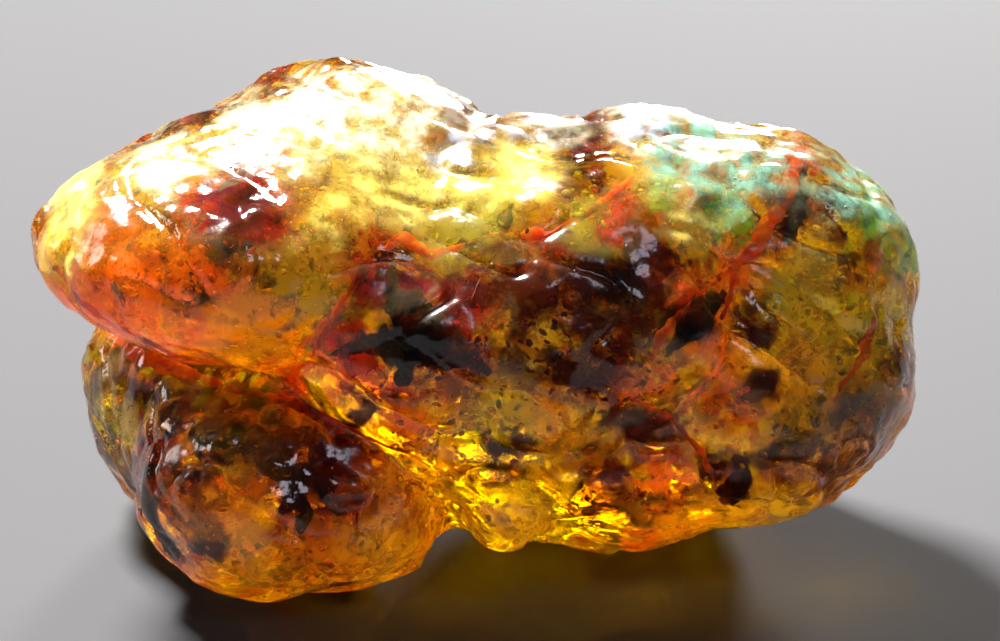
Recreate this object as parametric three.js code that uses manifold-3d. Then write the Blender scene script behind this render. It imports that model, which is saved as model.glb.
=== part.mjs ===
// A raw amber nodule, one solid, as it formed: several flows of resin that ran together and set.
// Millimetres, +Z up. The origin is the middle of the bounding box's underside, on the surface it rests on.
// +X runs along the nodule towards its paler end, and -Y is the side that shows the undercut lobe.
import * as THREE from "three";
import { ImprovedNoise } from "three/addons/math/ImprovedNoise.js";
import { mergeVertices } from "three/addons/utils/BufferGeometryUtils.js";
import Module from "manifold-3d";

// Driving dimensions.
const LENGTH = 48; // finished size along X
const BLEND = 2.0; // how widely neighbouring swellings of one flow melt together
const FOOT_CUT = 0.45; // depth worn off the lowest points, which gives the nodule flats to rest on
const RELIEF = 0.55; // height of the lumps that cover every flow
const LUMP_WIDTH = 5.4; // width of those lumps
const FOLD_WIDTH = 3.9; // width of the folds between them
const LUMP_SEED = new THREE.Vector3(7.3, 1.9, 4.4); // the place in the noise that the lumps are read from
const FOLD_SEED = new THREE.Vector3(0, 5.1, 0); // and the folds

// How the surface of a flow is looked for along a ray.
const REACH = 40; // a ray this long starts outside any flow
const STRIDE = 0.45; // length of the steps inwards
const HALVINGS = 14; // refinements of the point found
const MERGE_GAP = 1e-5; // corners closer than this are one corner

const AMBER = new THREE.Color(0.78, 0.36, 0.05);

// Each flow is a set of swellings, ellipsoids given by centre and half-sizes, and a set of scoops, the
// hollows that old chips and bark have left in it, given by centre and radius. heart is a point inside it
// from which its whole surface can be seen, and detail sets the fineness of its facets.
const FLOWS = {
  crown: {
    detail: 11,
    heart: [-8, 1, 17],
    swellings: [
      { at: [-11.6, -1.6, 18.3], half: [11.1, 10.4, 5.7] }, // blunt left shoulder
      { at: [-7.0, 2.4, 18.2], half: [9.6, 9.8, 8.0] }, // the highest point
      { at: [-5.6, 7.6, 13.4], half: [13.0, 7.4, 8.4] }, // back
      { at: [-2.0, -3.2, 14.6], half: [8.6, 9.4, 6.8] }, // brow over the undercut
    ],
    scoops: [
      { at: [-15.0, 21.5, 23.0], radius: 10.5 },
      { at: [-24.5, -14.5, 25.5], radius: 8.0 },
    ],
  },
  middle: {
    detail: 12,
    heart: [5, 1, 12],
    swellings: [
      { at: [3.0, -0.4, 13.4], half: [12.6, 12.2, 10.4] }, // the show side's belly
      { at: [9.0, 1.6, 14.8], half: [9.4, 11.4, 9.2] }, // right shoulder
      { at: [6.4, 1.4, 8.2], half: [14.4, 11.2, 7.8] },
    ],
    scoops: [
      { at: [4.2, -4.0, 38.9], radius: 13.6 }, // the saddle along the top
      { at: [4.5, 24.8, 9.0], radius: 12.5 },
      { at: [9.0, -21.5, 19.5], radius: 9.6 }, // shallow chip on the show side
    ],
  },
  blunt: {
    detail: 10,
    heart: [15, 0, 12.5],
    swellings: [
      { at: [14.4, 0.8, 15.0], half: [9.4, 9.4, 8.2] }, // paler end
      { at: [13.0, -0.6, 9.8], half: [9.4, 9.8, 7.6] },
      { at: [15.6, -2.6, 10.6], half: [8.0, 7.6, 6.2] },
    ],
    scoops: [
      { at: [26.5, 14.5, 17.0], radius: 8.0 },
      { at: [26.6, -12.6, 2.6], radius: 9.8 },
    ],
  },
  undercutLobe: {
    detail: 9,
    heart: [-10.6, -3.0, 6.6],
    swellings: [
      { at: [-10.6, -4.8, 6.0], half: [7.2, 8.4, 6.0] }, // the foot under the left shoulder
      { at: [-13.2, 3.4, 7.4], half: [8.5, 9.0, 7.6] }, // its heel, further back
      { at: [-7.0, -4.4, 5.8], half: [6.2, 7.2, 5.4] },
    ],
    scoops: [{ at: [-20.0, -14.0, 2.5], radius: 5.8 }],
  },
  bead: {
    detail: 5,
    heart: [1.9, -7.0, 6.0],
    swellings: [{ at: [1.9, -7.4, 6.0], half: [2.7, 3.4, 2.9] }], // between the two main flows
    scoops: [],
  },
  backFoot: {
    detail: 6,
    heart: [9.0, 3.0, 4.8],
    swellings: [{ at: [9.4, 2.4, 4.8], half: [8.0, 6.5, 4.8] }], // the third point it stands on
    scoops: [],
  },
};

const wasm = await Module();
wasm.setup();
const noise = new ImprovedNoise();

// Close to the signed distance from a point to an ellipsoid, exact on its surface.
function distanceTo(point, { at, half }) {
  const scaled = new THREE.Vector3(...half.map((h, i) => (point.getComponent(i) - at[i]) / h));
  const slope = new THREE.Vector3(...half.map((h, i) => scaled.getComponent(i) / h)).length();
  const reached = scaled.length();
  return slope === 0 ? -Math.min(...half) : (reached * (reached - 1)) / slope;
}

// The smaller of two distances, with the corner between them rounded over a width.
function melted(a, b, width) {
  const share = Math.max(width - Math.abs(a - b), 0) / width;
  return Math.min(a, b) - (share * share * width) / 4;
}

// Below zero inside a flow, above zero outside.
function depthIn(flow, point) {
  const body = flow.swellings.reduce((d, swelling) => melted(d, distanceTo(point, swelling), BLEND), REACH);
  return flow.scoops.reduce((d, { at, radius }) => {
    const intoScoop = radius - point.distanceTo(new THREE.Vector3(...at));
    return -melted(-d, -intoScoop, BLEND);
  }, body);
}

// The outermost surface point of a flow in a direction from its heart.
function surfacePoint(flow, direction) {
  const heart = new THREE.Vector3(...flow.heart);
  const pointAt = (t) => heart.clone().addScaledVector(direction, t);
  let outside = REACH;
  while (outside > STRIDE && depthIn(flow, pointAt(outside - STRIDE)) > 0) outside -= STRIDE;
  let inside = outside - STRIDE;
  for (let i = 0; i < HALVINGS; i++) {
    const middle = (inside + outside) / 2;
    if (depthIn(flow, pointAt(middle)) > 0) outside = middle;
    else inside = middle;
  }
  return pointAt(inside);
}

// Smooth noise from -1 to 1 that changes over a width.
function noiseAt(point, width, seed) {
  const place = point.clone().divideScalar(width).add(seed);
  return noise.noise(place.x, place.y, place.z);
}

// Rounded lumps with sharper valleys between them, in millimetres.
function reliefAt(point) {
  return RELIEF * (noiseAt(point, LUMP_WIDTH, LUMP_SEED) + Math.abs(noiseAt(point, FOLD_WIDTH, FOLD_SEED)));
}

// A flow as a closed geometry: an icosahedron's corners moved out to the flow's surface.
function flowGeometry(flow) {
  const sphere = new THREE.IcosahedronGeometry(1, flow.detail);
  sphere.deleteAttribute("normal");
  sphere.deleteAttribute("uv");
  const geometry = mergeVertices(sphere, MERGE_GAP);
  const corners = geometry.getAttribute("position");
  const direction = new THREE.Vector3();
  for (let i = 0; i < corners.count; i++) {
    direction.fromBufferAttribute(corners, i).normalize();
    const point = surfacePoint(flow, direction);
    point.addScaledVector(direction, reliefAt(point));
    corners.setXYZ(i, point.x, point.y, point.z);
  }
  return geometry;
}

function solidFrom(geometry) {
  const mesh = new wasm.Mesh({
    numProp: 3,
    vertProperties: new Float32Array(geometry.getAttribute("position").array),
    triVerts: new Uint32Array(geometry.index.array),
  });
  return new wasm.Manifold(mesh);
}

function geometryFrom(solid) {
  const mesh = solid.getMesh();
  const geometry = new THREE.BufferGeometry();
  geometry.setAttribute("position", new THREE.BufferAttribute(new Float32Array(mesh.vertProperties), 3));
  geometry.setIndex(new THREE.BufferAttribute(new Uint32Array(mesh.triVerts), 1));
  return geometry;
}

// A block that takes everything below a height.
function groundBlock(height) {
  const block = new THREE.BoxGeometry(4 * LENGTH, 4 * LENGTH, LENGTH);
  block.deleteAttribute("normal");
  block.deleteAttribute("uv");
  block.translate(0, 0, height - LENGTH / 2);
  return solidFrom(mergeVertices(block, MERGE_GAP));
}

// The flows joined in one solid, with its lowest points worn flat.
function noduleGeometry() {
  const joined = Object.values(FLOWS)
    .map((flow) => solidFrom(flowGeometry(flow)))
    .reduce((whole, flow) => whole.add(flow));
  const lowest = joined.boundingBox().min[2];
  return geometryFrom(joined.subtract(groundBlock(lowest + FOOT_CUT)));
}

// Scales the geometry to its length and moves its underside's middle to the origin.
function settled(geometry) {
  geometry.computeBoundingBox();
  const size = geometry.boundingBox.getSize(new THREE.Vector3());
  const middle = geometry.boundingBox.getCenter(new THREE.Vector3());
  const scale = LENGTH / size.x;
  geometry.translate(-middle.x, -middle.y, -geometry.boundingBox.min.z);
  geometry.scale(scale, scale, scale);
  geometry.computeVertexNormals();
  return geometry;
}

const amber = new THREE.MeshStandardMaterial({ color: AMBER, roughness: 0.15, metalness: 0 });
const nodule = new THREE.Mesh(settled(noduleGeometry()), amber);
nodule.name = "amber_nodule";

const root = new THREE.Group();
root.add(nodule);

export default root;
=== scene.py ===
import math
import random

import bmesh
import bpy
from mathutils import Matrix, Vector, noise
from mathutils.bvhtree import BVHTree


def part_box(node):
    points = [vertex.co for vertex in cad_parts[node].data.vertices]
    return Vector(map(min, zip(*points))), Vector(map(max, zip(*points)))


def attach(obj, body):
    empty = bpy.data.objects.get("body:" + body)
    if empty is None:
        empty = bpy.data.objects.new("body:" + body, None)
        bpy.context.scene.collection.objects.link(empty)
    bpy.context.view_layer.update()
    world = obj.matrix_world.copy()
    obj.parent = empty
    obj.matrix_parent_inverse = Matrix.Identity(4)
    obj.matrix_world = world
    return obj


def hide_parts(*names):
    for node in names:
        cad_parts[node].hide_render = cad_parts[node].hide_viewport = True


bl_info = {
    "name": "Raw amber nodule",
    "version": (1, 0, 0),
    "blender": (4, 5, 0),
    "location": "View3D > Sidebar > Amber",
    "description": "Builds a rough see-through amber nodule with the bark, seams and bubbles sealed in it",
    "category": "Add Mesh",
}

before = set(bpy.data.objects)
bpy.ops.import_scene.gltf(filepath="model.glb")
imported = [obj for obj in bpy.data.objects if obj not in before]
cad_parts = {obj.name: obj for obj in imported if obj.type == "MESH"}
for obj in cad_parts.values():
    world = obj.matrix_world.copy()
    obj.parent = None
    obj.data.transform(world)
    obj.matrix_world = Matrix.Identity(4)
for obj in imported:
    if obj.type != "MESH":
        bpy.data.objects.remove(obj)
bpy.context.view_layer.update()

NODE = "amber_nodule"
BODY = "root"
MM = 0.001
MERGE_GAP = 0.001 * MM
LOWEST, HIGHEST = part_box(NODE)
MIDDLE = (LOWEST + HIGHEST) / 2
LENGTH = HIGHEST.x - LOWEST.x

# The show side faces along -Y and is looked at from above. A place on it is given by how far across and
# how far up it lies from the middle, seen from there, and by its depth under the skin, all in millimetres.
SHOW_TILT = math.radians(22)
TO_VIEWER = Vector((0, -math.cos(SHOW_TILT), math.sin(SHOW_TILT)))
ACROSS = Vector((1, 0, 0))
UPWARD = Vector((0, math.sin(SHOW_TILT), math.cos(SHOW_TILT)))
FAR_UPWARD = Vector((0, -UPWARD.y, UPWARD.z))
OUTSIDE = 2 * LENGTH
FLOW = (0.87 * ACROSS - 0.5 * UPWARD).normalized()  # the way that the resin ran, which its folds follow

# noise_vector takes its offsets from this, so that every run gives the same shapes.
NOISE_SEED = 2
noise.seed_set(NOISE_SEED)


def smooth_step(low, high, value):
    """0 below low, 1 above high and a smooth rise between them."""
    t = min(max((value - low) / (high - low), 0), 1)
    return t * t * (3 - 2 * t)


# ---------------------------------------------------------------- settings


class SkinSettings(bpy.types.PropertyGroup):
    """The outer shape and how its fine relief is made."""

    voxel: bpy.props.FloatProperty(
        name="Fineness", description="Edge length of the skin's mesh", default=0.26 * MM, unit="LENGTH"
    )
    smoothing: bpy.props.IntProperty(
        name="Smoothing", description="Passes that wear the facets of the solid away", default=10
    )
    fold_height: bpy.props.FloatProperty(
        name="Fold height", description="Height of the resin's set folds", default=0.34 * MM, unit="LENGTH"
    )
    fold_width: bpy.props.FloatProperty(
        name="Fold width", description="Distance between the folds", default=4.6 * MM, unit="LENGTH"
    )
    crease_depth: bpy.props.FloatProperty(
        name="Crease depth", description="Depth of the sharp creases", default=0.24 * MM, unit="LENGTH"
    )
    ripple_height: bpy.props.FloatProperty(
        name="Ripple height", description="Height of the small lumps", default=0.15 * MM, unit="LENGTH"
    )
    ripple_width: bpy.props.FloatProperty(
        name="Ripple width", description="Distance between the small lumps", default=1.7 * MM, unit="LENGTH"
    )
    chips: bpy.props.IntProperty(
        name="Chips", description="Number of shallow shell-shaped chips", default=24
    )
    seed: bpy.props.IntProperty(name="Seed", description="Which chips it has", default=7)


class ResinSettings(bpy.types.PropertyGroup):
    """How the resin bends, tints and swallows light."""

    ior: bpy.props.FloatProperty(
        name="IOR", description="Index of refraction of amber", default=1.54
    )
    tint: bpy.props.FloatVectorProperty(
        name="Absorption colour",
        description="Colour that the light keeps on its way through the resin",
        subtype="COLOR",
        default=(0.989, 0.942, 0.05),
    )
    density: bpy.props.FloatProperty(
        name="Absorption density", description="How fast the resin swallows light, per metre", default=420
    )


class StageSettings(bpy.types.PropertyGroup):
    """The floor, the lamps and the camera."""

    floor_colour: bpy.props.FloatVectorProperty(
        name="Floor", description="Colour of the floor", subtype="COLOR", default=(0.050, 0.050, 0.053)
    )
    elevation: bpy.props.FloatProperty(
        name="Elevation", description="How far above the horizon the camera is", default=SHOW_TILT,
        subtype="ANGLE",
    )
    lens: bpy.props.FloatProperty(
        name="Lens", description="Focal length of the camera in millimetres", default=100
    )
    view_width: bpy.props.FloatProperty(
        name="View width", description="Width of the view at the nodule", default=55.8 * MM, unit="LENGTH"
    )


# ---------------------------------------------------------------- node helpers


def new_material(name):
    """An empty node material, with its tree and its output node."""
    material = bpy.data.materials.new(name)
    material.use_nodes = True
    tree = material.node_tree
    tree.nodes.clear()
    output = tree.nodes.new("ShaderNodeOutputMaterial")
    return material, tree, output


def add_node(tree, kind, values=None, **settings):
    """A shader node with its settings and its sockets' values."""
    node = tree.nodes.new("ShaderNode" + kind)
    for key, value in settings.items():
        setattr(node, key, value)
    for key, value in (values or {}).items():
        node.inputs[key].default_value = value
    return node


def principled_material(name, values):
    """A material that is one Principled shader, with its tree and that shader."""
    material, tree, output = new_material(name)
    shader = add_node(tree, "BsdfPrincipled", values)
    tree.links.new(shader.outputs["BSDF"], output.inputs["Surface"])
    return material, tree, shader


def place_of(tree):
    """The Object coordinates, in metres."""
    return add_node(tree, "TexCoord").outputs["Object"]


def noise_pattern(tree, width, detail=3.0, roughness=0.55, distortion=0.0):
    """Soft noise whose lumps are about width metres across."""
    pattern = add_node(
        tree, "TexNoise",
        {"Scale": 1 / width, "Detail": detail, "Roughness": roughness, "Distortion": distortion},
    )
    tree.links.new(place_of(tree), pattern.inputs["Vector"])
    return pattern.outputs["Fac"]


def ramp(tree, factor, stops):
    """A colour ramp given by (position, colour) stops."""
    node = add_node(tree, "ValToRGB")
    elements = node.color_ramp.elements
    while len(elements) < len(stops):
        elements.new(0.5)
    for element, (position, colour) in zip(elements, stops):
        element.position = position
        element.color = (*colour, 1)
    tree.links.new(factor, node.inputs["Fac"])
    return node.outputs["Color"]


def remap(tree, factor, low, high, to_low=0.0, to_high=1.0):
    """factor stretched from low..high to to_low..to_high, clamped."""
    node = add_node(
        tree, "MapRange", {"From Min": low, "From Max": high, "To Min": to_low, "To Max": to_high}
    )
    tree.links.new(factor, node.inputs["Value"])
    return node.outputs["Result"]


def feed(tree, socket, value):
    """Links another socket to this one or, if value isn't a socket, sets this one to it."""
    if isinstance(value, bpy.types.NodeSocket):
        tree.links.new(value, socket)
    else:
        socket.default_value = value


def mix_colour(tree, factor, first, second, blend="MIX"):
    """first where factor is 0 and second blended in where it is 1. Each may be a socket or a value."""
    node = add_node(tree, "Mix", data_type="RGBA", blend_type=blend)
    for socket, value in zip((node.inputs["Factor"], *node.inputs[6:8]), (factor, first, second)):
        feed(tree, socket, value)
    return node.outputs[2]


def combined(tree, first, second, operation="MULTIPLY"):
    """The product of two sockets or numbers or, with the operation "ADD", their sum."""
    node = add_node(tree, "Math", operation=operation)
    feed(tree, node.inputs[0], first)
    feed(tree, node.inputs[1], second)
    return node.outputs["Value"]


def carried(tree, name, kind="Fac"):
    """A value that the mesh's corners carry or, with kind "Color", a colour."""
    return add_node(tree, "Attribute", attribute_name=name).outputs[kind]


def bump(tree, height, distance, strength=1.0):
    """Shading normals for small relief of that height in metres."""
    node = add_node(tree, "Bump", {"Distance": distance, "Strength": strength})
    tree.links.new(height, node.inputs["Height"])
    return node.outputs["Normal"]


# ---------------------------------------------------------------- piece helpers


def mesh_of(name, bm):
    """The bmesh as a mesh. The bmesh is used up."""
    mesh = bpy.data.meshes.new(name)
    bm.to_mesh(mesh)
    bm.free()
    return mesh


def placed(name, data):
    """A mesh, a lamp or a camera as an object in the scene."""
    thing = bpy.data.objects.new(name, data)
    bpy.context.scene.collection.objects.link(thing)
    return thing


def as_piece(name, bm, material):
    """A finished piece: the bmesh as an object at the origin, with its material and body."""
    mesh = mesh_of(name, bm)
    mesh.polygons.foreach_set("use_smooth", [True] * len(mesh.polygons))
    mesh.materials.append(material)
    piece = placed(name, mesh)
    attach(piece, BODY)
    return piece


def remeshed(bm, voxel):
    """A bmesh rebuilt as an even skin of quads, with everything inside it gone."""
    mesh = mesh_of("remesh", bm)
    carrier = placed("remesh", mesh)
    modifier = carrier.modifiers.new("Remesh", "REMESH")
    modifier.mode = "VOXEL"
    modifier.voxel_size = voxel
    graph = bpy.context.evaluated_depsgraph_get()
    result = bmesh.new()
    result.from_object(carrier, graph)
    bpy.data.objects.remove(carrier)
    bpy.data.meshes.remove(mesh)
    return result


def ease(bm, factor):
    """Moves every corner towards the middle of those round it."""
    bmesh.ops.smooth_vert(
        bm, verts=bm.verts, factor=factor, use_axis_x=True, use_axis_y=True, use_axis_z=True
    )


def worn_solid(voxel, passes):
    """The CAD solid's shape as an even skin, its facets worn away."""
    bm = bmesh.new()
    bm.from_mesh(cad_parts[NODE].data)
    bmesh.ops.remove_doubles(bm, verts=bm.verts, dist=MERGE_GAP)
    bm = remeshed(bm, voxel)
    for _ in range(passes):
        ease(bm, 0.5)
    bm.normal_update()
    return bm


# ---------------------------------------------------------------- zones of colour

GOLD = (1.0, 0.70, 0.04)
PALE_GOLD = (1.0, 0.88, 0.20)
GREEN_GOLD = (0.84, 0.80, 0.05)
SEA_GREEN = (0.42, 0.90, 0.25)
OLIVE = (0.46, 0.36, 0.05)
BURNT = (0.66, 0.19, 0.015)
ORANGE = (1.0, 0.42, 0.03)
RUST = (0.85, 0.14, 0.02)
RED_BROWN = (0.30, 0.055, 0.015)
CRIMSON = (0.52, 0.035, 0.015)
WINE = (0.16, 0.02, 0.02)
UMBER = (0.17, 0.04, 0.010)
NEAR_BLACK = (0.03, 0.01, 0.012)
TEAL = (0.20, 0.40, 0.28)
REFLECTION_BLUE = (0.42, 0.50, 0.62)
HIGHLIGHT_CREAM = (0.95, 0.90, 0.64)
GLOW_YELLOW = (1.0, 0.86, 0.16)

# Zones of the show side: millimetres across and up from the middle, the radius, and the colour there.
GOLD_ZONES = [
    (-5.4, 8.8, 3.4, PALE_GOLD),  # the crown's shining side
    (-9.4, 8.6, 2.6, PALE_GOLD),
    (-4.2, 6.0, 2.6, PALE_GOLD),
    (-7.2, 4.4, 2.6, GOLD),
    (-1.2, 5.2, 3.0, GREEN_GOLD),
    (2.2, 7.2, 2.2, GOLD),
    (5.4, 4.6, 1.5, GREEN_GOLD),
    (-21.6, 6.4, 2.4, PALE_GOLD),  # rim of the shoulder
    (-17.6, 7.4, 2.2, PALE_GOLD),
    (-22.2, 3.0, 1.8, GOLD),
    (-14.6, 8.0, 1.8, GOLD),
    (-8.6, 1.4, 2.6, GREEN_GOLD),
    (-11.6, -1.4, 2.2, GOLD),
    (0.6, -5.0, 2.6, GREEN_GOLD),  # below the star of bark
    (-2.4, -6.0, 1.5, GOLD),
    (4.4, -6.2, 1.8, GOLD),
    (-3.6, -9.6, 2.4, GOLD),
    (1.8, -11.4, 2.0, PALE_GOLD),  # the bead
    (15.4, -11.8, 2.8, PALE_GOLD),
    (11.2, -12.4, 2.0, GOLD),
    (8.2, 7.6, 1.4, GOLD),
    (11.0, 4.2, 1.7, PALE_GOLD),
    (8.8, -2.2, 1.4, GOLD),
    (16.6, 0.4, 1.9, GREEN_GOLD),
    (17.2, -2.8, 1.9, GOLD),
    (21.2, -1.0, 2.6, GREEN_GOLD),
    (20.4, -5.2, 2.4, OLIVE),
    (16.6, -6.4, 2.2, OLIVE),
    (-19.8, -5.8, 1.8, GREEN_GOLD),  # the undercut lobe
    (-12.8, -7.8, 1.5, GOLD),
    (-15.0, -11.2, 1.7, GOLD),
    (-12.2, -12.8, 1.5, PALE_GOLD),
    (-8.8, -13.6, 2.2, GOLD),
    (-5.6, -13.0, 2.6, PALE_GOLD),
    (17.4, 2.2, 1.5, PALE_GOLD),
    (18.8, -2.2, 1.5, GREEN_GOLD),
    (9.6, 6.4, 1.1, SEA_GREEN),
    (12.6, 5.2, 1.8, SEA_GREEN),
    (20.6, 5.2, 1.6, SEA_GREEN),
    (22.8, 3.4, 1.5, SEA_GREEN),
]
RUST_ZONES = [
    (-18.6, 2.8, 3.0, ORANGE),
    (-19.0, -0.4, 2.0, ORANGE),
    (-14.4, 1.8, 2.4, ORANGE),
    (-12.2, 5.2, 2.8, RUST),  # round the left cluster of bark
    (-14.6, 5.8, 1.5, RUST),
    (-11.6, 8.0, 1.2, RUST),
    (-5.6, 2.6, 1.3, RUST),  # round the star
    (-6.4, -2.8, 1.9, RUST),
    (-0.6, -0.6, 2.0, RUST),
    (-1.2, -3.6, 1.6, RED_BROWN),
    (-21.6, -0.8, 1.5, ORANGE),  # along the shoulder's underside
    (-18.2, -2.4, 1.4, ORANGE),
    (-14.4, -3.6, 1.3, ORANGE),
    (-10.6, -4.2, 1.3, RUST),
    (17.0, 8.0, 1.1, RUST),  # down the ridge on the right
    (15.4, 5.2, 1.2, ORANGE),
    (13.6, 2.6, 1.3, ORANGE),
    (12.6, -2.4, 1.2, ORANGE),
    (11.4, 0.6, 1.4, RUST),
    (8.8, -4.2, 1.6, ORANGE),
    (9.6, 6.0, 1.2, ORANGE),  # along the seam in the middle
    (7.0, 5.4, 1.3, RUST),
    (3.4, 3.2, 1.1, RUST),
    (-15.2, -10.4, 1.8, ORANGE),  # the undercut lobe
    (-10.6, -9.0, 1.2, ORANGE),
    (-9.2, -12.4, 1.4, ORANGE),
    (-4.6, -6.6, 1.8, ORANGE),
    (9.6, -9.6, 1.8, ORANGE),
    (6.2, -9.2, 1.8, RED_BROWN),
    (13.0, -5.2, 1.8, ORANGE),
    (22.0, 3.2, 1.4, ORANGE),
    (-10.6, -7.2, 1.7, BURNT),
    (-17.2, -9.4, 1.6, BURNT),
    (-7.4, -10.6, 1.8, BURNT),
    (3.0, -0.6, 3.8, RED_BROWN),  # all over the middle
    (7.0, -2.8, 3.0, RED_BROWN),
    (-5.6, 1.6, 1.1, CRIMSON),  # crimson edges of the star and the cluster
    (-3.4, 1.4, 1.0, CRIMSON),
    (-7.0, -2.0, 1.1, CRIMSON),
    (-0.2, -2.8, 1.1, CRIMSON),
    (-1.2, 0.6, 1.1, CRIMSON),
    (-5.2, -3.6, 1.0, CRIMSON),
    (-12.0, 6.9, 1.1, CRIMSON),
    (-13.9, 4.0, 1.0, CRIMSON),
    (-10.3, 3.9, 1.0, CRIMSON),
]
DARK_ZONES = [
    (7.4, 1.6, 2.6, NEAR_BLACK),  # the deep brown window in the middle
    (4.2, 1.6, 2.6, UMBER),
    (1.6, 0.8, 2.0, UMBER),
    (4.6, -0.8, 2.6, UMBER),
    (1.6, -2.0, 2.0, UMBER),
    (-0.6, 1.2, 1.3, WINE),
    (-4.0, -4.4, 1.5, WINE),
    (7.6, -1.4, 2.2, UMBER),
    (9.6, 2.4, 1.6, WINE),
    (3.8, -3.2, 1.8, UMBER),
    (9.0, -6.8, 1.6, UMBER),
    (5.8, -4.6, 1.4, WINE),
    (1.4, -8.0, 1.8, UMBER),
    (-3.0, -1.4, 2.1, NEAR_BLACK),
    (-7.8, -8.0, 1.5, WINE),
    (-19.4, -4.4, 1.5, WINE),  # the undercut lobe: painted shade in the band under the shoulder's overhang, and the lobe's own dark network below it
    (-17.0, -7.8, 1.7, WINE),
    (-16.4, -5.2, 1.7, NEAR_BLACK),
    (-13.2, -6.0, 2.2, NEAR_BLACK),
    (-10.0, -6.6, 1.9, WINE),
    (-7.0, -7.2, 1.6, UMBER),
    (-8.6, -9.6, 1.3, NEAR_BLACK),
    (-15.6, -13.6, 1.2, WINE),
    (-18.8, -9.6, 1.3, WINE),
    (-10.4, -10.6, 1.0, WINE),
    (-6.4, -10.4, 1.2, WINE),
    (16.4, 5.0, 1.2, NEAR_BLACK),
    (19.1, 5.6, 1.4, WINE),
    (11.2, -0.8, 1.4, NEAR_BLACK),
    (14.6, -1.0, 1.2, WINE),
    (13.4, -9.2, 1.3, WINE),
    (18.6, -8.6, 1.4, UMBER),
    (-12.4, 5.0, 1.6, NEAR_BLACK),
    (-12.4, 7.8, 0.8, NEAR_BLACK),
    # painted shade under the shoulder's overhang
    (-14.8, -4.6, 1.5, WINE),
    (20.4, -6.2, 1.7, UMBER),
    (16.2, -8.2, 1.6, UMBER),
    (21.0, 3.0, 0.9, UMBER),
    (15.0, -4.0, 1.1, UMBER),
    (22.6, -3.0, 1.0, UMBER),
]
# The rind is thin, so its gold is paler than the veils'.
PALE_ZONES = [(*zone[:3], tuple(part**0.7 for part in zone[3])) for zone in GOLD_ZONES]
# The rind's stain, with painted shade under the shoulder from the dark zones.
STAIN_AND_SHADE_ZONES = PALE_ZONES + RUST_ZONES + DARK_ZONES
CRUST_ZONES = [
    (-14.6, -7.4, 3.8, WINE),
    (-8.6, -9.4, 2.2, WINE),
    (-13.0, 5.6, 2.6, WINE),
    (9.0, -8.4, 3.6, WINE),
]
# Milky zones of the skin, mostly painted light: a painted highlight on the crown, painted reflections and
# glow, and a blue-green partly painted sheen.
MILK_AND_HIGHLIGHT_ZONES = [
    (11.6, 8.9, 3.2, TEAL),  # milky blue-green along the top of the paler end: partly the skin's own bloom, partly a painted fluorescent sheen
    (15.0, 7.0, 2.8, TEAL),
    (12.6, 5.4, 2.0, TEAL),
    (20.4, 6.8, 3.0, TEAL),
    (22.4, 3.8, 1.7, TEAL),
    # painted reflections: blue-white glints along the top edge
    (8.4, 10.4, 1.8, REFLECTION_BLUE),
    (3.4, 10.2, 1.6, REFLECTION_BLUE),
    (-1.0, 9.6, 1.4, REFLECTION_BLUE),
    (-4.6, 10.0, 2.8, HIGHLIGHT_CREAM),  # painted highlight: pale cream over the crown's top
    (-8.6, 10.2, 2.6, HIGHLIGHT_CREAM),
    (-12.4, 9.6, 2.0, HIGHLIGHT_CREAM),
    (-17.0, 7.8, 1.6, HIGHLIGHT_CREAM),
    (-4.4, 6.6, 2.2, GLOW_YELLOW),  # painted glow: pale yellow below the crown, on the left rim and on the paler end
    (-0.4, 6.2, 1.6, GLOW_YELLOW),
    (2.4, 7.4, 1.7, GLOW_YELLOW),
    (-7.4, 4.6, 1.4, GLOW_YELLOW),
    (-21.6, 5.8, 1.9, GLOW_YELLOW),
    (-21.8, 2.6, 1.3, GLOW_YELLOW),
    (11.0, 4.3, 1.5, GLOW_YELLOW),
]


def zone_cover(zones, across, up):
    """How much the zones cover a place, 0 to 1, and the colour there times that."""
    total = 1e-6
    colour = Vector((0, 0, 0))
    cover = 0
    for zone_across, zone_up, radius, tint in zones:
        if abs(across - zone_across) < 2 * radius:
            reach = math.hypot(across - zone_across, up - zone_up) / radius
            weight = math.exp(-0.9 * reach**4)
            share = (weight / radius) ** 2
            total += share
            colour += share * Vector(tint)
            cover = max(cover, weight)
    return cover, cover * colour / total


def zones_at(zones, place, normal, wander):
    """How much the zones cover a place, 0 to 1, and the colour there. The far side has the same zones, since
    they run right through, and the two sides melt into each other round the outline."""
    offset = (place - MIDDLE) / MM + wander
    show = smooth_step(-0.3, 0.3, normal.dot(TO_VIEWER) + 0.2 * wander.y)
    cover = 0
    colour = Vector((0, 0, 0))
    for share, upward in ((show, UPWARD), (1 - show, FAR_UPWARD)):
        if share > 0:
            side_cover, side_colour = zone_cover(zones, offset.dot(ACROSS), offset.dot(upward))
            cover += share * side_cover
            colour += share * side_colour
    return cover, colour / max(cover, 1e-6)


# ---------------------------------------------------------------- the resin body


def chip_spheres(bm, settings):
    """Spheres just outside the skin, whose hollows in it are the shallow shell-shaped chips: the middle, the
    radius, the spot on the skin and how far the hollow reaches from it. The show side has none."""
    draw = random.Random(settings.seed)
    bm.verts.ensure_lookup_table()
    spheres = []
    while len(spheres) < settings.chips:
        vert = bm.verts[draw.randrange(len(bm.verts))]
        radius = draw.uniform(3, 8) * MM
        bite = draw.uniform(0.12, 0.35) * MM
        lean = Vector((draw.uniform(-1, 1), draw.uniform(-1, 1), draw.uniform(-1, 1)))
        outward = (vert.normal + 0.25 * lean).normalized()
        if vert.normal.dot(TO_VIEWER) < 0:
            spheres.append((vert.co + outward * (radius - bite), radius, vert.co.copy(), radius / 2))
    return spheres


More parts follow.
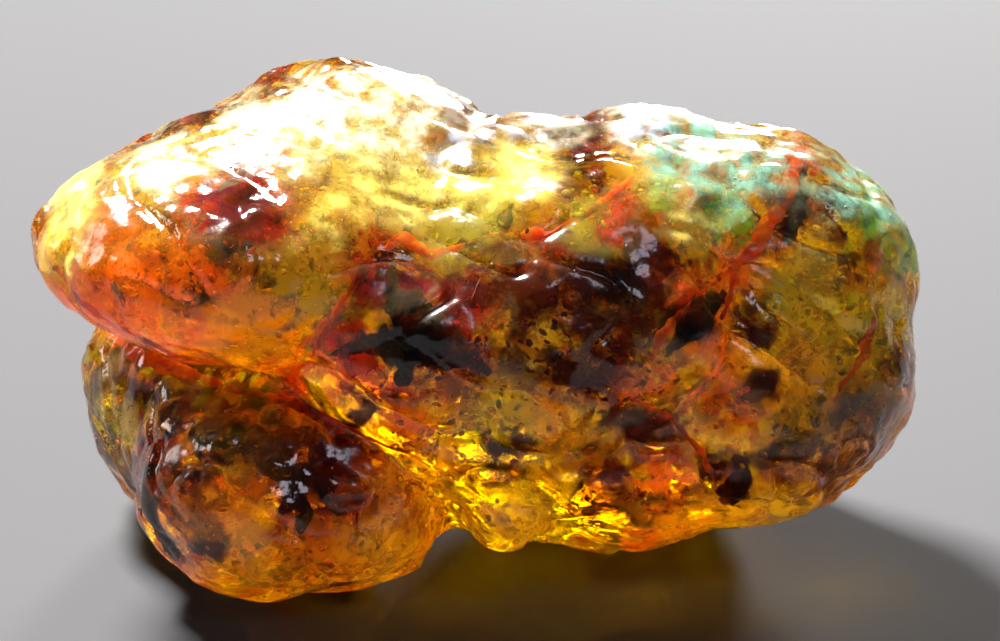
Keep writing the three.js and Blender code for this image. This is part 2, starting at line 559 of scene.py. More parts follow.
def relief_at(place, settings):
    """Height of the resin's folds and ripples at a place on the skin, in metres."""
    bent = place / settings.fold_width + 0.5 * noise.noise_vector(place / (2.3 * settings.fold_width))
    bent -= 0.55 * bent.dot(FLOW) * FLOW
    folds = noise.hetero_terrain(bent, 0.9, 2.0, 3, 0.6) - 0.6
    creases = smooth_step(0.0, 0.14, abs(noise.noise(1.5 * bent + FLOW))) - 1
    ripples = noise.noise(place / settings.ripple_width)
    fine = noise.noise(place / (0.42 * settings.ripple_width))
    lumps = settings.fold_height * folds + settings.crease_depth * creases
    return lumps + settings.ripple_height * (ripples + 0.5 * fine)


def shape_skin(bm, settings):
    """Folds, ripples and chips, fading out towards the flats that the nodule stands on."""
    spheres = chip_spheres(bm, settings)
    moves = []
    for vert in bm.verts:
        fade = smooth_step(0.2 * MM, 1.6 * MM, vert.co.z - LOWEST.z)
        target = vert.co + vert.normal * relief_at(vert.co, settings) * fade
        ragged = 0.7 * MM * noise.noise_vector(vert.co / (2.4 * MM))
        for centre, radius, spot, reach in spheres:
            offset = target + ragged - centre
            if (vert.co - spot).length < reach and offset.length < radius:
                pushed = centre - ragged + offset.normalized() * radius
                target = target.lerp(pushed, fade)
        moves.append(target)
    for vert, target in zip(bm.verts, moves):
        target.z = max(target.z, LOWEST.z)
        vert.co = target


def nodule_skin(settings):
    """The nodule's outer skin: the CAD solid's shape, its facets worn away and its fine relief put on."""
    bm = worn_solid(settings.voxel, settings.smoothing)
    shape_skin(bm, settings)
    ease(bm, 0.3)
    bm.normal_update()
    return bm


def crust_pattern(tree):
    """1 along the crooked cracks of the crust and 0 between them."""
    place = place_of(tree)
    bend = add_node(tree, "TexNoise", {"Scale": 1 / (1.6 * MM), "Detail": 1})
    tree.links.new(place, bend.inputs["Vector"])
    bent = add_node(tree, "MixRGB", {"Fac": 0.0016}, blend_type="LINEAR_LIGHT")
    tree.links.new(place, bent.inputs["Color1"])
    tree.links.new(bend.outputs["Color"], bent.inputs["Color2"])
    cells = add_node(tree, "TexVoronoi", {"Scale": 1 / (3.0 * MM)}, feature="DISTANCE_TO_EDGE")
    tree.links.new(bent.outputs["Color"], cells.inputs["Vector"])
    return remap(tree, cells.outputs["Distance"], 0.03, 0.22, 1, 0)


def resin_material(settings):
    """See-through amber that bends and swallows light, under a thin weathered rind that stains it and
    carries painted shade under the shoulder, cracks into a wine-red crust and turns milky where the skin's
    own values ask for it; the milk carries painted highlights, reflections and glow, and a partly painted
    blue-green sheen."""
    material, tree, output = new_material("amber_resin")
    shader = add_node(tree, "BsdfPrincipled", {"IOR": settings.ior})
    smears = noise_pattern(tree, 5 * MM, detail=1)
    dull = combined(tree, carried(tree, "haze_and_highlight"), 0.10)
    smeared = remap(tree, smears, 0.38, 0.64, 0.08, 0.22)
    tree.links.new(combined(tree, smeared, dull, "ADD"), shader.inputs["Roughness"])
    crumbs = noise_pattern(tree, 2.0 * MM, detail=4, roughness=0.68, distortion=0.5)
    honey = ramp(
        tree, crumbs, [(0.40, (1.0, 0.92, 0.45)), (0.52, (1.0, 0.72, 0.18)), (0.64, (0.55, 0.17, 0.03))]
    )
    crumbled = remap(tree, crumbs, 0.34, 0.66, 0.45, 1.5)
    rind_and_shade = remap(tree, combined(tree, carried(tree, "rind_and_shade"), crumbled), 0.15, 0.85)
    stained_and_shaded = mix_colour(tree, rind_and_shade, honey, carried(tree, "stain_and_shade", "Color"))
    crust = combined(tree, carried(tree, "crust"), crust_pattern(tree))
    crusted = mix_colour(tree, crust, stained_and_shaded, (*WINE, 1))
    grain = noise_pattern(tree, 1.2 * MM, detail=3, roughness=0.66)
    patchy = remap(tree, crumbs, 0.36, 0.60, 0.2, 1.0)
    patchy = combined(tree, patchy, remap(tree, grain, 0.38, 0.60, 0.15, 1.0))
    haze_and_highlight = combined(tree, carried(tree, "haze_and_highlight"), patchy)
    milky_and_highlit = mix_colour(tree, remap(tree, haze_and_highlight, 0, 0.5), crusted, carried(tree, "milk_and_highlight", "Color"))
    tree.links.new(milky_and_highlit, shader.inputs["Base Color"])

    clear = combined(tree, remap(tree, rind_and_shade, 0, 1, 1.0, 0.92), remap(tree, crust, 0, 1, 1.0, 0.8))
    clear = combined(tree, clear, remap(tree, haze_and_highlight, 0, 1, 1.0, 0.3))
    tree.links.new(clear, shader.inputs["Transmission Weight"])
    tree.links.new(bump(tree, grain, 0.06 * MM, 0.8), shader.inputs["Normal"])
    volume = add_node(
        tree, "VolumeAbsorption", {"Color": (*settings.tint, 1), "Density": settings.density}
    )
    tree.links.new(shader.outputs["BSDF"], output.inputs["Surface"])
    tree.links.new(volume.outputs["Volume"], output.inputs["Volume"])
    return material


def mark_rind_and_painted_light(bm):
    """Writes the skin's own values: the colours of its stain, with painted shade under the shoulder, and of
    its milk, with painted highlights, reflections and glow, and how thick the rind is, how crusted it is and
    how milky, each 0 to 1."""
    stain_and_shade = bm.verts.layers.float_color.new("stain_and_shade")
    rind_and_shade = bm.verts.layers.float.new("rind_and_shade")
    crust = bm.verts.layers.float.new("crust")
    haze_and_highlight = bm.verts.layers.float.new("haze_and_highlight")
    milk_and_highlight = bm.verts.layers.float_color.new("milk_and_highlight")
    for vert in bm.verts:
        place = vert.co / MM
        wander = noise.noise_vector(place / 2.6) + 0.5 * noise.noise_vector(place)
        vert[rind_and_shade], colour = zones_at(STAIN_AND_SHADE_ZONES, vert.co, vert.normal, wander)
        vert[stain_and_shade] = (*colour, 1)
        vert[crust] = zones_at(CRUST_ZONES, vert.co, vert.normal, wander)[0]
        cover, colour = zones_at(MILK_AND_HIGHLIGHT_ZONES, vert.co, vert.normal, 1.2 * wander)
        vert[haze_and_highlight] = cover * (0.35 + 0.65 * smooth_step(-0.3, 0.3, vert.normal.dot(TO_VIEWER)))
        vert[milk_and_highlight] = (*colour, 1)


class NODULE_OT_body(bpy.types.Operator):
    """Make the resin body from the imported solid"""

    bl_idname = "nodule.body"
    bl_label = "Resin body"

    def execute(self, context):
        scene = context.scene
        skin = nodule_skin(scene.nodule_skin)
        mark_rind_and_painted_light(skin)
        piece = as_piece("amber_body", skin, resin_material(scene.nodule_resin))
        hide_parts(NODE)
        return {"FINISHED"}


# ---------------------------------------------------------------- what is sealed in the resin

VEIL_VOXEL = 0.45 * MM
VEIL_SMOOTHING = 8
VEIL_THICKNESS = 0.05 * MM
VEIL_CLEARANCE = 0.15 * MM
LEAST_CLOUD = 0.12  # a veil isn't made where there is less of it
SPIKE = 0.6 * MM  # a sheet's corner this far from those round it is a fault of the thickening


def veil_sheet(skin, zones, depth, wobble, spare, seed):
    """A sheet that follows the skin some way under it, kept where the zones or stray noise ask for it."""
    bm = worn_solid(VEIL_VOXEL, VEIL_SMOOTHING)
    shift = Vector((seed, 2.7 * seed, 5.1 * seed))
    cloud = bm.verts.layers.float.new("cloud")
    tint = bm.verts.layers.float_color.new("tint")
    unused = []
    moves = []
    for vert in bm.verts:
        place = vert.co / MM
        wander = 1.3 * noise.noise_vector(place / 3.1 + shift)
        cover, colour = zones_at(zones, vert.co, vert.normal, wander)
        stray = spare * smooth_step(0.12, 0.5, noise.noise(place / 5.0 - shift))
        cloudy = max(cover, stray)
        # The dark zones, which hold dark dust and the painted shade under the shoulder, thin the other veils
        # out.
        if zones is not DARK_ZONES:
            cloudy *= 1 - zones_at(DARK_ZONES, vert.co, vert.normal, wander)[0]
        vert[cloud] = cloudy
        vert[tint] = (*colour, 1)
        under = depth + wobble * noise.noise(place / 4.2 + 2 * shift)
        moved = vert.co - vert.normal * under
        moves.append(moved)
        nearest = skin.find_nearest(moved)
        too_close = nearest[3] < 0.3 * depth or (moved - nearest[0]).dot(nearest[1]) > 0
        if vert[cloud] < LEAST_CLOUD or too_close:
            unused.append(vert)
    for vert, moved in zip(bm.verts, moves):
        vert.co = moved
    bmesh.ops.delete(bm, geom=unused, context="VERTS")
    loose = [vert for vert in bm.verts if not vert.link_faces]
    bmesh.ops.delete(bm, geom=loose, context="VERTS")
    bm.normal_update()
    bmesh.ops.solidify(bm, geom=bm.faces[:], thickness=VEIL_THICKNESS)
    for vert in bm.verts:
        around = [edge.other_vert(vert).co for edge in vert.link_edges]
        middle = sum(around, Vector()) / len(around)
        if (vert.co - middle).length > SPIKE:
            vert.co = middle
    keep_inside(bm, skin, VEIL_CLEARANCE)
    return bm


def translucent_shader(tree, colour, glow):
    """A matt surface that lets some of the light behind it through in its own colour."""
    front = add_node(tree, "BsdfPrincipled", {"Roughness": 0.6, "Specular IOR Level": 0.1})
    back = add_node(tree, "BsdfTranslucent")
    both = add_node(tree, "MixShader", {"Fac": glow})
    tree.links.new(colour, front.inputs["Base Color"])
    tree.links.new(colour, back.inputs["Color"])
    tree.links.new(front.outputs["BSDF"], both.inputs[1])
    tree.links.new(back.outputs["BSDF"], both.inputs[2])
    return both.outputs["Shader"]


def veil_material(name, width, glow, solid):
    """A wispy translucent cloud that takes its colour from the sheet's own tint. solid is how much of it
    there is at the thickest place."""
    material, tree, output = new_material(name)
    wisps = noise_pattern(tree, width, detail=4, roughness=0.65)
    wispy = combined(tree, carried(tree, "cloud"), remap(tree, wisps, 0.38, 0.62, 0.1, 1.6))
    cover = remap(tree, wispy, 0.1, 1.0, 0.0, solid)
    gap = add_node(tree, "BsdfTransparent")
    whole = add_node(tree, "MixShader")
    tree.links.new(cover, whole.inputs["Fac"])
    tree.links.new(gap.outputs["BSDF"], whole.inputs[1])
    tree.links.new(translucent_shader(tree, carried(tree, "tint", "Color"), glow), whole.inputs[2])
    tree.links.new(whole.outputs["Shader"], output.inputs["Surface"])
    return material


def skin_tree():
    """The finished skin as a tree that places can be measured against."""
    bm = bmesh.new()
    bm.from_mesh(bpy.data.objects["amber_body"].data)
    tree = BVHTree.FromBMesh(bm)
    bm.free()
    return tree


class NODULE_OT_veils(bpy.types.Operator):
    """Make the clouds, rust and dark dust that follow the resin's flows under the skin, and dark sheets of
    painted shade under the shoulder
    """

    bl_idname = "nodule.veils"
    bl_label = "Veils"

    def execute(self, context):
        skin = skin_tree()
        gold = veil_sheet(skin, GOLD_ZONES, depth=1.5 * MM, wobble=0.7 * MM, spare=0.5, seed=1)
        shining = veil_material("gold_cloud", width=1.3 * MM, glow=0.5, solid=0.55)
        as_piece("gold_veils", gold, shining)
        rust = veil_sheet(skin, RUST_ZONES, depth=2.3 * MM, wobble=0.9 * MM, spare=0.5, seed=2)
        rusty = veil_material("rust_seam", width=1.1 * MM, glow=0.5, solid=0.8)
        as_piece("rust_veils", rust, rusty)
        # dark dust, and painted shade under the shoulder's overhang
        dark = veil_sheet(skin, DARK_ZONES, depth=2.6 * MM, wobble=0.8 * MM, spare=0.3, seed=3)
        dust_and_shade = veil_material("bark_dust_and_shade", width=1.6 * MM, glow=0.1, solid=0.95)
        as_piece("dark_veils", dark, dust_and_shade)
        return {"FINISHED"}


def under_skin(skin, across, up, depth, side=1):
    """The place some millimetres under the skin behind (across, up), from the show side or, with side -1,
    from the far side."""
    to_viewer = Vector((0, side * TO_VIEWER.y, TO_VIEWER.z))
    upward = Vector((0, side * UPWARD.y, UPWARD.z))
    seen = (across * ACROSS + up * upward) * MM
    start = MIDDLE + seen + OUTSIDE * to_viewer
    hit = skin.ray_cast(start, -to_viewer)[0]
    if hit is None:
        return None
    return hit - depth * MM * to_viewer


SEALED_DEPTH = 0.25 * MM  # grains and bubbles lie at least this far under the skin


def is_sealed(skin, place, clearance):
    """True if a place is inside the skin by at least the clearance."""
    nearest, normal, _, distance = skin.find_nearest(place)
    return (place - nearest).dot(normal) < 0 and distance > clearance


def keep_inside(bm, skin, clearance):
    """Moves the corners that poke out through the skin, or nearly do, to just under it."""
    for vert in bm.verts:
        nearest, normal, _, distance = skin.find_nearest(vert.co)
        poking_out = (vert.co - nearest).dot(normal) > 0
        if poking_out or distance < clearance:
            vert.co = nearest - clearance * normal


def scattered(template, copies):
    """One bmesh of many copies of a small bmesh. copies are (matrix, tint) pairs."""
    mesh = mesh_of("template", template)
    tint_layer = mesh.color_attributes.new("tint", "FLOAT_COLOR", "POINT")
    corners = [vert.co.copy() for vert in mesh.vertices]
    bm = bmesh.new()
    for matrix, tint in copies:
        for vert, corner in zip(mesh.vertices, corners):
            vert.co = matrix @ corner
        tint_layer.data.foreach_set("color", (*tint, 1) * len(corners))
        bm.from_mesh(mesh)
    bpy.data.meshes.remove(mesh)
    return bm


def small_ball(subdivisions=1):
    """A unit ball with few faces."""
    bm = bmesh.new()
    bmesh.ops.create_icosphere(bm, subdivisions=subdivisions, radius=1)
    return bm


def zone_places(skin, zones, count, deepest, draw):
    """Random places in the zones, most of them shallow, each with its zone's tint."""
    weights = [radius * radius for _, _, radius, _ in zones]
    places = []
    while len(places) < count:
        across, up, radius, tint = draw.choices(zones, weights)[0]
        across += 0.5 * radius * draw.gauss(0, 1)
        up += 0.5 * radius * draw.gauss(0, 1)
        depth = 0.35 + deepest * draw.random() ** 2
        side = draw.choice((1, -1))
        place = under_skin(skin, across, up, depth, side)
        if place is not None and is_sealed(skin, place, SEALED_DEPTH):
            places.append((place, tint))
    return places


def turned(place, sizes, draw):
    """A matrix that puts a shape of those sizes at a place, turned at random."""
    axis = Vector((draw.gauss(0, 1), draw.gauss(0, 1), draw.gauss(0, 1))).normalized()
    spin = Matrix.Rotation(draw.uniform(0, math.tau), 4, axis)
    return Matrix.Translation(place) @ spin @ Matrix.Diagonal((*sizes, 1))


def grain_material(name, glow):
    """Small matt grains that glow a little with the light behind them."""
    material, tree, output = new_material(name)
    wear = noise_pattern(tree, 0.8 * MM, detail=2)
    mottle = ramp(tree, wear, [(0.35, (0.6, 0.5, 0.45)), (0.6, (1, 1, 1))])
    colour = mix_colour(tree, 1, carried(tree, "tint", "Color"), mottle, "MULTIPLY")
    tree.links.new(translucent_shader(tree, colour, glow), output.inputs["Surface"])
    return material


# The small pieces: the start of their random draws, how many are tried, and how far under the skin the
# deepest lie, in millimetres.
GRAIN_SEED = 21
GRAINS = (
    ("gold_grains", GOLD_ZONES, 5200, "gold_cloud"),
    ("rust_grains", RUST_ZONES, 3000, "red_seam"),
)
GRAIN_DEPTH = 4.5
BUBBLE_SEED = 33
BUBBLES = 1100
BUBBLE_DEPTH = 3.0
SPANGLES = 600
SPANGLE_DEPTH = 2.4
CRACKS = 90
CRACK_DEPTH = 7.0
DUST_SEED = 55
DUST_SPECKS = 500


class NODULE_OT_grains(bpy.types.Operator):
    """Make the clouds of fine gold and rust grains"""

    bl_idname = "nodule.grains"
    bl_label = "Grains"

    def execute(self, context):
        skin = skin_tree()
        draw = random.Random(GRAIN_SEED)
        for name, zones, count, slot_name in GRAINS:
            copies = []
            for place, tint in zone_places(skin, zones, count, GRAIN_DEPTH, draw):
                size = draw.uniform(0.07, 0.26) * MM * draw.uniform(0.6, 1.5)
                copies.append((turned(place, (size, 0.7 * size, 0.25 * size), draw), tint))
            bm = scattered(small_ball(), copies)
            as_piece(name, bm, grain_material(name, 0.45))
        return {"FINISHED"}


def bubble_material(settings):
    """A gas bubble: light passes from the resin into air, so its edge mirrors like silver."""
    glassy = {"Base Color": (1, 1, 1, 1), "Transmission Weight": 1.0, "Roughness": 0.0}
    return principled_material("gas_bubble", {**glassy, "IOR": 1 / settings.ior})[0]


class NODULE_OT_bubbles(bpy.types.Operator):
    """Make the gas bubbles, the small flat spangles and the flat round stress cracks"""

    bl_idname = "nodule.bubbles"
    bl_label = "Bubbles"

    def execute(self, context):
        skin = skin_tree()
        draw = random.Random(BUBBLE_SEED)
        material = bubble_material(context.scene.nodule_resin)
        copies = []
        for place, tint in zone_places(skin, GOLD_ZONES, BUBBLES, BUBBLE_DEPTH, draw):
            size = 0.04 * MM + 0.22 * MM * draw.random() ** 5
            copies.append((turned(place, (size, size, size), draw), tint))
        as_piece("bubbles", scattered(small_ball(2), copies), material)
        spangles = []
        for place, tint in zone_places(skin, GOLD_ZONES, SPANGLES, SPANGLE_DEPTH, draw):
            size = draw.uniform(0.08, 0.30) * MM
            spangles.append((turned(place, (size, 0.8 * size, 0.08 * size), draw), tint))
        as_piece("spangles", scattered(small_ball(2), spangles), material)
        cracks = []
        for place, tint in zone_places(skin, GOLD_ZONES + RUST_ZONES, CRACKS, CRACK_DEPTH, draw):
            size = draw.uniform(0.3, 1.1) * MM
            if is_sealed(skin, place, size):
                cracks.append((turned(place, (size, 0.8 * size, 0.03 * size), draw), tint))
        as_piece("stress_cracks", scattered(small_ball(3), cracks), material)
        return {"FINISHED"}


# Bark, as strokes: from one place to another, each (across, up, depth) in millimetres, and the
# half-thickness at either end.
BARK = {
    "bark_star": [
        ((-3.0, -1.2, 2.1), (-4.6, 1.2, 1.5), 1.25, 0.75),
        ((-4.6, 1.2, 1.5), (-5.2, 2.4, 1.1), 0.75, 0.45),
        ((-3.4, -1.8, 2.1), (-6.0, -1.7, 1.3), 1.1, 0.55),
        ((-6.0, -1.7, 1.3), (-7.8, -2.3, 1.0), 0.55, 0.15),
        ((-2.6, -1.8, 2.1), (-0.6, -2.3, 1.4), 1.2, 0.6),
        ((-0.6, -2.3, 1.4), (0.5, -3.2, 1.1), 0.6, 0.2),
        ((-3.4, -2.0, 2.6), (-3.9, -3.4, 2.0), 0.9, 0.35),
        ((-2.4, -1.0, 2.6), (-1.2, 0.5, 2.6), 0.8, 0.25),
    ],
    "bark_cluster": [
        ((-12.7, 5.6, 1.4), (-11.9, 5.2, 1.3), 0.8, 0.7),
        ((-11.9, 5.2, 1.3), (-10.8, 4.5, 1.3), 0.7, 0.45),
        ((-12.7, 5.0, 1.5), (-13.2, 3.9, 1.3), 0.6, 0.4),
        ((-11.4, 3.6, 1.6), (-11.1, 3.1, 1.6), 0.25, 0.3),
        ((-10.4, 5.0, 1.5), (-10.2, 4.9, 1.5), 0.2, 0.15),
        ((-13.0, 8.5, 1.2), (-12.6, 7.9, 1.1), 0.12, 0.2),
        ((-12.6, 7.9, 1.1), (-11.8, 8.0, 1.1), 0.2, 0.22),
        ((-11.8, 8.0, 1.1), (-11.1, 7.5, 1.2), 0.22, 0.1),
        ((-12.7, 7.6, 1.3), (-12.8, 7.0, 1.5), 0.25, 0.2),
    ],
    "bark_slivers": [
        ((9.7, -2.1, 1.5), (11.2, -0.4, 1.5), 0.3, 0.85),
        ((11.2, -0.4, 1.5), (12.4, 0.6, 1.6), 0.85, 0.25),
        ((16.0, 4.0, 1.5), (16.8, 6.4, 1.3), 0.6, 0.45),
        ((16.8, 6.4, 1.3), (17.2, 7.6, 1.2), 0.45, 0.15),
        ((18.6, 5.9, 1.4), (19.7, 5.6, 1.4), 0.75, 0.6),
        ((1.4, 4.2, 1.4), (1.8, 5.2, 1.4), 0.45, 0.2),
        ((13.3, -9.8, 1.6), (14.0, -8.6, 1.6), 0.7, 0.45),
        ((-17.6, -9.0, 1.8), (-16.2, -12.6, 1.8), 0.5, 0.7),
        ((-10.8, -8.0, 2.0), (-9.4, -11.0, 2.0), 0.8, 0.4),
        ((-14.0, -7.0, 1.6), (-11.0, -7.4, 1.8), 0.5, 0.6),
    ],
}


# Seams between the flows: the half-thickness of each and the places that it runs through.
SEAMS = [
    (0.24, [(17.3, 8.6, 0.8), (16.5, 6.8, 1.0), (15.4, 4.8, 1.1), (14.2, 3.0, 1.1), (12.4, 1.6, 1.2)]),
    (0.20, [(12.4, 1.6, 1.2), (10.8, 0.4, 1.2), (9.4, -1.2, 1.1), (8.6, -2.6, 1.2)]),
    (0.15, [(12.2, -1.0, 1.2), (13.0, 0.6, 1.2), (13.4, 2.2, 1.2)]),
    (0.20, [
        (9.0, 7.8, 0.8), (7.4, 6.2, 0.9), (5.6, 4.8, 1.0), (3.6, 3.6, 1.0), (1.6, 3.8, 1.0),
        (-0.6, 3.2, 1.2),
    ]),
    (0.20, [(-0.6, 3.2, 1.2), (-2.6, 2.4, 1.2), (-4.2, 3.4, 1.1), (-5.6, 2.6, 1.1), (-6.6, 0.6, 1.1)]),
    (0.17, [(-5.6, 2.6, 1.1), (-8.2, -0.8, 1.2), (-8.6, -2.4, 1.2), (-6.8, -3.6, 1.3), (-4.4, -4.0, 1.3)]),
    (0.30, [
        (-21.8, -0.6, 0.7), (-21.2, -1.2, 0.8), (-19.0, -2.4, 0.8), (-16.4, -3.6, 0.8),
        (-13.2, -4.6, 0.9),
    ]),
    (0.17, [
        (-22.6, 2.6, 0.8), (-20.4, 0.4, 0.9), (-17.6, -1.4, 0.9), (-14.2, -2.8, 1.0), (-10.6, -3.4, 1.1),
    ]),
    (0.24, [
        (-13.2, -4.6, 0.9), (-10.4, -5.2, 1.0), (-7.6, -5.8, 1.1), (-4.6, -7.0, 1.1), (-1.6, -8.4, 1.1),
    ]),
    (0.14, [(-16.8, 9.4, 0.8), (-14.6, 7.4, 0.9), (-14.2, 5.0, 1.0), (-15.0, 2.8, 1.1)]),
    (0.17, [(5.4, -2.4, 1.2), (7.2, -4.2, 1.2), (9.6, -5.4, 1.2), (11.8, -7.4, 1.1), (12.6, -9.6, 1.1)]),
    (0.20, [(-18.6, -5.4, 0.9), (-18.2, -8.2, 0.9), (-16.4, -10.8, 1.0), (-14.6, -12.6, 1.0)]),
    (0.15, [(19.8, 3.4, 1.0), (20.8, 0.6, 1.0), (20.2, -2.4, 1.1), (18.2, -4.8, 1.1)]),
]


def bark_stroke(bm, start, end, start_radius, end_radius):
    """A tapering stick of bark with round ends."""
    along = end - start
    turn = along.to_track_quat("Z", "Y").to_matrix().to_4x4()
    middle = Matrix.Translation((start + end) / 2) @ turn
    bmesh.ops.create_cone(
        bm, cap_ends=True, segments=10, radius1=start_radius, radius2=end_radius,
        depth=along.length, matrix=middle,
    )
    for place, radius in ((start, start_radius), (end, end_radius)):
        bmesh.ops.create_icosphere(bm, subdivisions=2, radius=radius, matrix=Matrix.Translation(place))


def torn_lump(skin, strokes, voxel, tear, width, seed):
    """Sticks grown together and torn: strokes are (start, end, half-thickness there, half-thickness there),
    and tear is how far the torn surface wanders over that width."""
    bm = bmesh.new()
    for start, end, start_width, end_width in strokes:
        bark_stroke(
            bm, under_skin(skin, *start), under_skin(skin, *end), start_width * MM, end_width * MM
        )
    bm = remeshed(bm, voxel)
    bm.normal_update()
    shift = Vector((seed, seed, seed))
    for vert in bm.verts:
        place = vert.co / width
        torn = noise.noise(place + shift) + 0.6 * noise.noise(2.6 * place - shift)
        vert.co += vert.normal * tear * torn
    ease(bm, 0.3)
    return bm


SEAM_SEED = 5
BARK_CLEARANCE = 0.1 * MM  # bark and seams keep at least this far under the skin


def seam_strokes():
    """The seams as strokes that swell and thin out on their way."""
    draw = random.Random(SEAM_SEED)
    strokes = []
    for width, places in SEAMS:
        widths = [width * draw.uniform(0.3, 2.0) for _ in places]
        widths[0] = widths[-1] = 0.4 * width
        strokes += zip(places, places[1:], widths, widths[1:])
    return strokes


def bark_material():
    """Almost black bark, redder where it is thin and rotten."""
    material, tree, shader = principled_material(
        "sealed_bark", {"Roughness": 0.55, "Specular IOR Level": 0.2}
    )
    rot = noise_pattern(tree, 1.2 * MM, detail=4)
    colour = ramp(
        tree, rot,
        [(0.42, (0.012, 0.004, 0.006)), (0.56, (0.06, 0.006, 0.007)), (0.70, (0.26, 0.02, 0.01))],
    )
    tree.links.new(colour, shader.inputs["Base Color"])
    fibres = noise_pattern(tree, 0.2 * MM, detail=3)
    tree.links.new(bump(tree, fibres, 0.03 * MM), shader.inputs["Normal"])
    return material


class NODULE_OT_bark(bpy.types.Operator):
    """Make the pieces of bark"""

    bl_idname = "nodule.bark"
    bl_label = "Bark"

    def execute(self, context):
        skin = skin_tree()
        material = bark_material()
        for seed, (name, strokes) in enumerate(BARK.items()):
            lump = torn_lump(
                skin, strokes, voxel=0.13 * MM, tear=0.36 * MM, width=0.8 * MM, seed=3.1 + seed
            )
            keep_inside(lump, skin, BARK_CLEARANCE)
            as_piece(name, lump, material)
        return {"FINISHED"}


def seam_material():
    """Rust-orange seam that glows with the light behind it."""
    material, tree, output = new_material("rust_vein")
    age = noise_pattern(tree, 2.2 * MM, detail=3)
    colour = ramp(
        tree, age, [(0.38, (1.0, 0.42, 0.03)), (0.54, (0.95, 0.20, 0.01)), (0.68, (0.40, 0.03, 0.01))]
    )
    tree.links.new(translucent_shader(tree, colour, 0.5), output.inputs["Surface"])
    return material


class NODULE_OT_seams(bpy.types.Operator):
    """Make the rust-red seams between the flows"""

    bl_idname = "nodule.seams"
    bl_label = "Seams"

    def execute(self, context):
        skin = skin_tree()
        lump = torn_lump(
            skin, seam_strokes(), voxel=0.11 * MM, tear=0.26 * MM, width=0.9 * MM, seed=8.8
        )
        keep_inside(lump, skin, BARK_CLEARANCE)
        as_piece("rust_seams", lump, seam_material())
        return {"FINISHED"}


# ---------------------------------------------------------------- what lies on the skin

# A fibre stuck to the skin: the places that it runs through, just outside it, and its half-thickness, in
# millimetres.
FIBRE = [(-0.4, 0.5, -0.02), (-0.1, 1.3, -0.02), (0.35, 2.1, -0.02), (0.8, 2.8, -0.02)]
FIBRE_RADIUS = 0.024
DUST = (0.62, 0.56, 0.46)
FIBRE_BROWN = (0.24, 0.08, 0.03)


def dust_material(name, tint):
    """Matt dust or fluff of that colour, darker in places."""
    material, tree, shader = principled_material(name, {"Roughness": 0.9, "Specular IOR Level": 0.2})
    age = noise_pattern(tree, 3 * MM, detail=2)
    colour = ramp(tree, age, [(0.35, tuple(0.45 * part for part in tint)), (0.65, tint)])
    tree.links.new(colour, shader.inputs["Base Color"])
    return material


class NODULE_OT_dust(bpy.types.Operator):
    """Make the dust specks and the fibre that lie on the skin"""

    bl_idname = "nodule.dust"
    bl_label = "Dust"

    def execute(self, context):
        corners = bpy.data.objects["amber_body"].data.vertices
        draw = random.Random(DUST_SEED)
        copies = []
        while len(copies) < DUST_SPECKS:
            corner = corners[draw.randrange(len(corners))]
            if corner.normal.z > -0.2:
                size = (0.02 + 0.07 * draw.random() ** 3) * MM
                copies.append((turned(corner.co, (size, 0.7 * size, 0.5 * size), draw), DUST))
        dust = dust_material("pale_dust", DUST)
        as_piece("dust_specks", scattered(small_ball(), copies), dust)
        strokes = [(start, end, FIBRE_RADIUS, FIBRE_RADIUS) for start, end in zip(FIBRE, FIBRE[1:])]
        fibre = torn_lump(skin_tree(), strokes, voxel=0.016 * MM, tear=0.0, width=MM, seed=0)
        as_piece("fibre", fibre, dust_material("brown_fibre", FIBRE_BROWN))
        return {"FINISHED"}


# ---------------------------------------------------------------- the stage

FLOOR_REACH = 0.7  # from the middle to each edge, in metres
SENSOR_WIDTH = 36  # millimetres
AIM = MIDDLE + Vector((1.0, 0, -0.74)) * MM
WORLD_LIGHT = 0.04  # how strongly the surroundings light the nodule
WORLD_SEEN = 0.6  # and how bright they look themselves

# The lamps: azimuth and elevation in degrees and distance, size, power and colour.
LAMPS = {
    "back_lamp": (-145, 55, 1.76, 0.42, 270, (1.0, 0.98, 0.95)),
    "low_lamp": (171, 12, 2.24, 0.34, 125, (1.0, 0.97, 0.94)),
    "side_lamp": (-105, 22, 2.24, 0.60, 9, (1.0, 0.95, 0.86)),
    "front_lamp": (30, 55, 2.88, 0.64, 7, (0.90, 0.84, 1.0)),
}


def aim(thing, target):
    """Turns a lamp or camera to look at a point."""
    thing.rotation_euler = (target - thing.location).to_track_quat("-Z", "Y").to_euler()


def area_lamp(name, azimuth, elevation, distance, size, power, colour):
    """A soft square lamp that looks at the nodule's middle. Azimuth 0 is in front of the show side and 90 at
    its right."""
    data = bpy.data.lights.new(name, "AREA")
    data.size = size
    data.energy = power
    data.color = colour
    lamp = placed(name, data)
    turn = math.radians(azimuth)
    rise = math.radians(elevation)
    flat = Vector((math.sin(turn), -math.cos(turn), 0)) * math.cos(rise)
    lamp.location = MIDDLE + (flat + Vector((0, 0, math.sin(rise)))) * distance
    aim(lamp, MIDDLE)


def floor_piece(settings):
    """A plain pale floor at the height that the nodule stands on."""
    values = {"Base Color": (*settings.floor_colour, 1), "Roughness": 0.9, "Specular IOR Level": 0.1}
    bm = bmesh.new()
    bmesh.ops.create_grid(bm, x_segments=1, y_segments=1, size=FLOOR_REACH)
    bmesh.ops.translate(bm, verts=bm.verts, vec=(0, 0, LOWEST.z))
    floor = placed("floor", mesh_of("floor", bm))
    floor.data.materials.append(principled_material("pale_floor", values)[0])


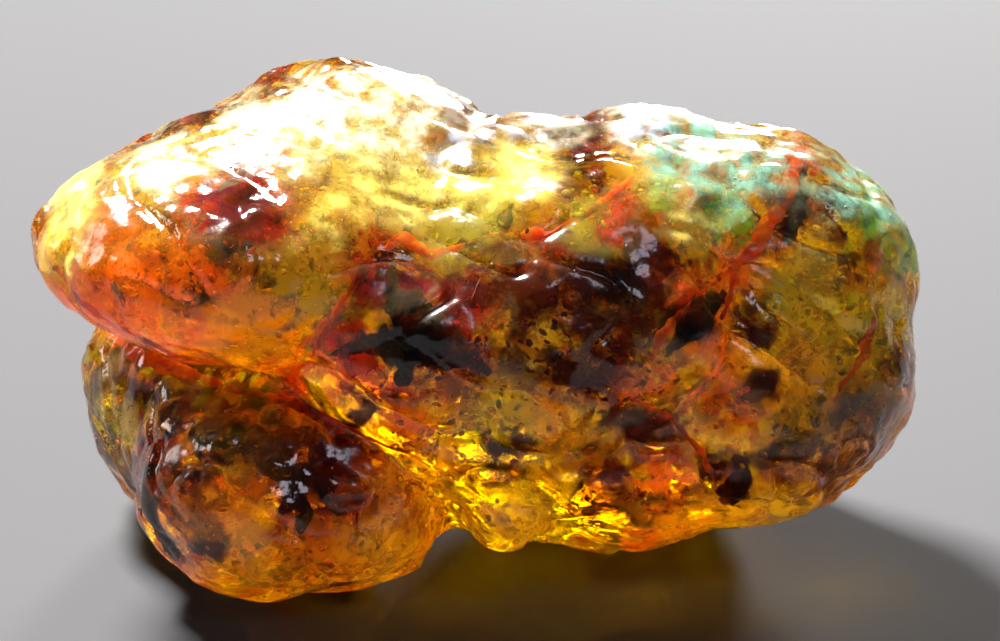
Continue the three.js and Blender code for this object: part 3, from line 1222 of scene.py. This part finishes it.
def camera_for(settings):
    """The camera on the show side, level across and a little above."""
    data = bpy.data.cameras.new("camera")
    data.lens = settings.lens
    data.sensor_width = SENSOR_WIDTH
    camera = placed("camera", data)
    distance = settings.view_width * settings.lens / SENSOR_WIDTH
    towards = Vector((0, -math.cos(settings.elevation), math.sin(settings.elevation)))
    camera.location = AIM + towards * distance
    aim(camera, AIM)
    bpy.context.scene.camera = camera


def studio_world():
    """A pale surrounding that gives only a little light of its own."""
    world = bpy.data.worlds.new("studio")
    world.use_nodes = True
    tree = world.node_tree
    backdrop = tree.nodes["Background"]
    backdrop.inputs["Color"].default_value = (0.75, 0.78, 0.85, 1)
    path = add_node(tree, "LightPath")
    strength = remap(tree, path.outputs["Is Camera Ray"], 0, 1, WORLD_LIGHT, WORLD_SEEN)
    tree.links.new(strength, backdrop.inputs["Strength"])
    return world


class NODULE_OT_stage(bpy.types.Operator):
    """Make the floor, the soft studio lamps and the camera"""

    bl_idname = "nodule.stage"
    bl_label = "Stage"

    def execute(self, context):
        scene = context.scene
        settings = scene.nodule_stage
        floor_piece(settings)
        for name, lamp in LAMPS.items():
            area_lamp(name, *lamp)
        camera_for(settings)
        scene.world = studio_world()
        scene.view_settings.view_transform = "Standard"
        scene.cycles.max_bounces = 12
        scene.cycles.transmission_bounces = 10
        scene.cycles.transparent_max_bounces = 24
        return {"FINISHED"}


# ---------------------------------------------------------------- the add-on


class NODULE_PT_panel(bpy.types.Panel):
    """Lists the steps that build the nodule"""

    bl_idname = "NODULE_PT_panel"
    bl_label = "Raw amber nodule"
    bl_space_type = "VIEW_3D"
    bl_region_type = "UI"
    bl_category = "Amber"

    def draw(self, context):
        for step in STEPS:
            self.layout.operator(step.bl_idname)


STEPS = [
    NODULE_OT_body,
    NODULE_OT_veils,
    NODULE_OT_grains,
    NODULE_OT_bubbles,
    NODULE_OT_bark,
    NODULE_OT_seams,
    NODULE_OT_dust,
    NODULE_OT_stage,
]
SETTINGS = {"nodule_skin": SkinSettings, "nodule_resin": ResinSettings, "nodule_stage": StageSettings}
CLASSES = [*SETTINGS.values(), *STEPS, NODULE_PT_panel]


def register():
    for cls in CLASSES:
        bpy.utils.register_class(cls)
    for name, cls in SETTINGS.items():
        setattr(bpy.types.Scene, name, bpy.props.PointerProperty(type=cls))


def unregister():
    for name in SETTINGS:
        delattr(bpy.types.Scene, name)
    for cls in reversed(CLASSES):
        bpy.utils.unregister_class(cls)


def main():
    register()
    bpy.ops.nodule.body()
    bpy.ops.nodule.veils()
    bpy.ops.nodule.grains()
    bpy.ops.nodule.bubbles()
    bpy.ops.nodule.bark()
    bpy.ops.nodule.seams()
    bpy.ops.nodule.dust()
    bpy.ops.nodule.stage()


if __name__ == "__main__":
    main()
